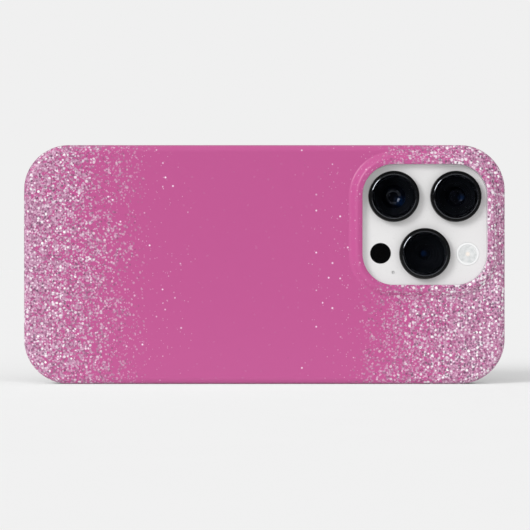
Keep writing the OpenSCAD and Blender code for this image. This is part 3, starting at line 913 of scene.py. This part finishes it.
def build_lens(i):
    at = lens_at(i)
    top = levels(f"lens_ring_{i}")[1]
    soft = 0.22
    base = PLATEAU_Z + 0.02
    profile = [(6.2, 0.5), (NECK_R, 0.5), (NECK_R, base), (RING_R, base)]
    profile += arc(RING_R - soft, top - 0.1 - soft, soft, 0, 90, 8)
    profile += [(COVER_R + 0.12, top - 0.1), (COVER_R + 0.03, top - 0.2)]
    profile += [(COVER_R + 0.03, top - 0.7), (6.2, top - 0.7)]
    ring = lathe(profile, at=at, ring=True, steps=128)
    settle(ring, f"lens_trim_{i}", [RING], "phone", [f"lens_ring_{i}"], 30)

    # The cover stands just proud, and its ground edge slopes down to the trim.
    ground = 0.15
    slope = ground * math.tan(math.radians(24))
    profile = [(COVER_R, top - 0.68), (COVER_R, top - slope), (COVER_R - ground, top)]
    cover = lathe(profile, at=at, steps=128)
    for polygon in cover.data.polygons:
        out = (polygon.center - Vector(at)).to_2d().length
        if polygon.center.z > top - slope and out > COVER_R - ground:
            polygon.material_index = 1
    settle(cover, f"lens_glass_{i}", [COVER, GROUND_EDGE], "phone", [f"lens_cover_{i}"],
           15)

    # The hood steps down to the inner glass.
    bowl_r, pupil_r = INNER[i]["bowl"], INNER[i]["pupil"]
    mouth_r, floor_z = 5.5, -2.4
    profile = [(6.1, -5.2), (6.1, 2.9), (mouth_r + 0.2, 2.9)]
    steps = 4
    for k in range(steps):
        r = mouth_r + (bowl_r - mouth_r) * (k + 1) / steps
        z = 2.6 - 0.45 * k
        profile += [(r + 0.2, z + 0.08), (r, z), (r, z - 0.35)]
    profile += [(bowl_r, floor_z), (0, floor_z)]
    hood = lathe(profile, at=at)
    settle(hood, f"lens_hood_{i}", [BARREL], "phone", [f"lens_barrel_{i}"], 30)

    # The inner glass is a polished bowl with a low dome in its middle.
    hollow_r, dome_r, rim_z = 4.3, 3.4, 0.95
    outer_r = bowl_r - 0.02
    centre_z = rim_z + math.sqrt(hollow_r ** 2 - outer_r ** 2)
    profile = [(0, floor_z + 0.02), (outer_r, floor_z + 0.02), (outer_r, rim_z)]
    steps = 16
    for k in range(1, steps + 1):
        r = outer_r + (pupil_r - outer_r) * k / steps
        profile.append((r, centre_z - math.sqrt(hollow_r ** 2 - r ** 2)))
    dome_z = profile[-1][1] - math.sqrt(dome_r ** 2 - pupil_r ** 2)
    for k in range(1, steps + 1):
        r = pupil_r * (1 - k / steps)
        profile.append((r, dome_z + math.sqrt(dome_r ** 2 - r ** 2)))
    bowl = lathe(profile, at=at)
    for polygon in bowl.data.polygons:
        if (polygon.center - Vector(at)).to_2d().length < pupil_r:
            polygon.material_index = 1
    looks = [inner_glass(i, gloss) for gloss in INNER[i]["gloss"]]
    settle(bowl, f"lens_bowl_{i}", looks, "phone", [f"lens_element_{i}"], 25)


def build_flash():
    (d, _, _), at = lying("flash_lens")
    r = d / 2
    z0, z1 = levels("flash_lens")
    profile = [(r, z0), (r, z1 - 0.22)]
    profile += arc(r - 0.25, z1 - 0.25, 0.25, 0, 90, 6)
    profile += [(r - 0.62, z1), (r - 0.75, z1 - 0.12)]
    rings = 6
    for k in range(rings):
        outer = (r - 0.8) * (1 - k / rings)
        inner = (r - 0.8) * (1 - (k + 0.85) / rings)
        profile += [(outer, z1 - 0.12), (inner, z1 - 0.22)]
    profile.append((0, z1 - 0.18))
    lens = lathe(profile, at=(at.x, at.y, 0))
    for polygon in lens.data.polygons:
        if (polygon.center - Vector((at.x, at.y, 0))).to_2d().length > r - 0.65:
            polygon.material_index = 1
    settle(lens, "flash_window", [DIFFUSER, FLASH_BASE], "phone", ["flash_lens"],
           20)


def build_sensor():
    (d, _, _), at = lying("depth_sensor_window")
    z0, z1 = levels("depth_sensor_window")
    profile = [(d / 2, z0)] + arc(d / 2 - 0.12, z1 - 0.12, 0.12, 0, 90, 5)
    piece = lathe(profile, at=(at.x, at.y, 0))
    settle(piece, "sensor_window", [SENSOR_BLACK], "phone", ["depth_sensor_window"])


build_shell()
build_liner()
build_caps()
build_frame()
build_glass()
build_buttons()
build_plateau()
for number in INNER:
    build_lens(number)
build_flash()
build_sensor()


# ---------------------------------------------------------------- carried-over nodes

CARRIED = {
    "display_panel": PANEL, "mid_plate": ALLOY, "battery": BATTERY, "main_board": BOARD,
    "charging_coil": COPPER, "haptic_motor": ALLOY, "loudspeaker": DARK,
    "speaker_meshes": MESH, "earpiece_mesh": MESH, "front_camera_module": DARK,
    "port_shell": PORT_STEEL, "port_tongue": DARK, "end_screws": PORT_STEEL,
    "camera_bracket": ALLOY, "flash_plate": FLASH_BASE, "flash_leds": LED,
    "rear_mic_mesh": MIC,
}
for node, material in CARRIED.items():
    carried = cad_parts[node]
    carried.data.materials.clear()
    carried.data.materials.append(material)


# ---------------------------------------------------------------- floor

def build_floor():
    half = 14.0
    front = -0.42                         # ends below the picture, short of the camera
    corners = ((-half, front), (half, front), (half, half), (-half, half))
    mesh = bpy.data.meshes.new("floor")
    mesh.from_pydata([(x, y, -0.00002) for x, y in corners], [], [(0, 1, 2, 3)])
    g = Graph("floor_paper", Roughness=1.0, Specular_IOR_Level=0.0)
    white = (1.0, 1.0, 1.0)
    drift = g.ramp(g.noise(30), 0.3, 0.7)
    g.colour(g.mix(drift, scaled(white, 0.930), scaled(white, 0.934)))
    mesh.materials.append(g.material)
    floor = bpy.data.objects.new("floor", mesh)
    bpy.context.collection.objects.link(floor)


build_floor()
